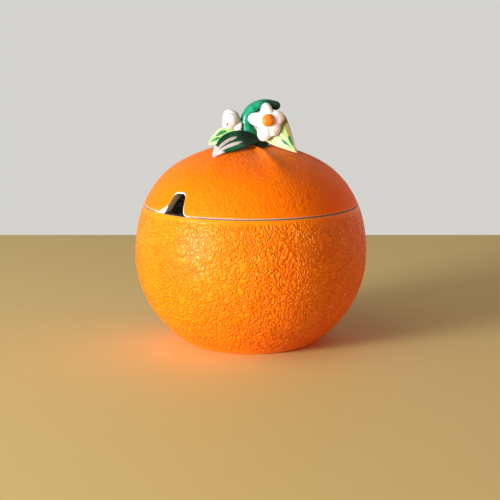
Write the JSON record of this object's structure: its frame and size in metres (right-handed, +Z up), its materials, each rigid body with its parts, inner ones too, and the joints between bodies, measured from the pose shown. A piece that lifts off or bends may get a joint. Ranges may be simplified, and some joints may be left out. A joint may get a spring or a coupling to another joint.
{
  "type": "jam pot",
  "caption": "Round glazed ceramic jam pot shaped like an orange, with a lift-off lid that has a spoon notch and a finial of stalk, leaves and blossoms.",
  "frame": {"origin": "centre of the foot ring, on the surface that the pot stands on", "axes": "+Z up the pot's axis, through the lid's crown; the spoon notch faces -Y"},
  "size_m": [0.1, 0.1, 0.1048],
  "materials": {
    "orange_glaze": "glossy orange glaze over an orange-peel relief, white inside and on the rims",
    "stalk_green_glaze": "glossy blue-green glaze",
    "dark_leaf_glaze": "glossy dark green brush strokes over white",
    "pale_leaf_glaze": "glossy pale green with darker brush strokes",
    "white_glaze": "glossy white glaze",
    "button_orange_glaze": "glossy orange glaze"
  },
  "bodies": {
    "pot": {"pot": "orange_glaze"},
    "lid": {"lid_shell": "orange_glaze", "stalk": "stalk_green_glaze", "front_leaf": "dark_leaf_glaze", "left_leaf": "pale_leaf_glaze", "right_leaf": "pale_leaf_glaze", "front_blossom": "white_glaze", "front_blossom_centre": "button_orange_glaze", "side_blossom": "white_glaze", "side_blossom_centre": "button_orange_glaze"}
  },
  "joints": [
    {"name": "lid_lift", "type": "slide", "parent": "pot", "child": "lid", "axis": [0, 0, 1], "range_m": [0, 0.08]}
  ]
}
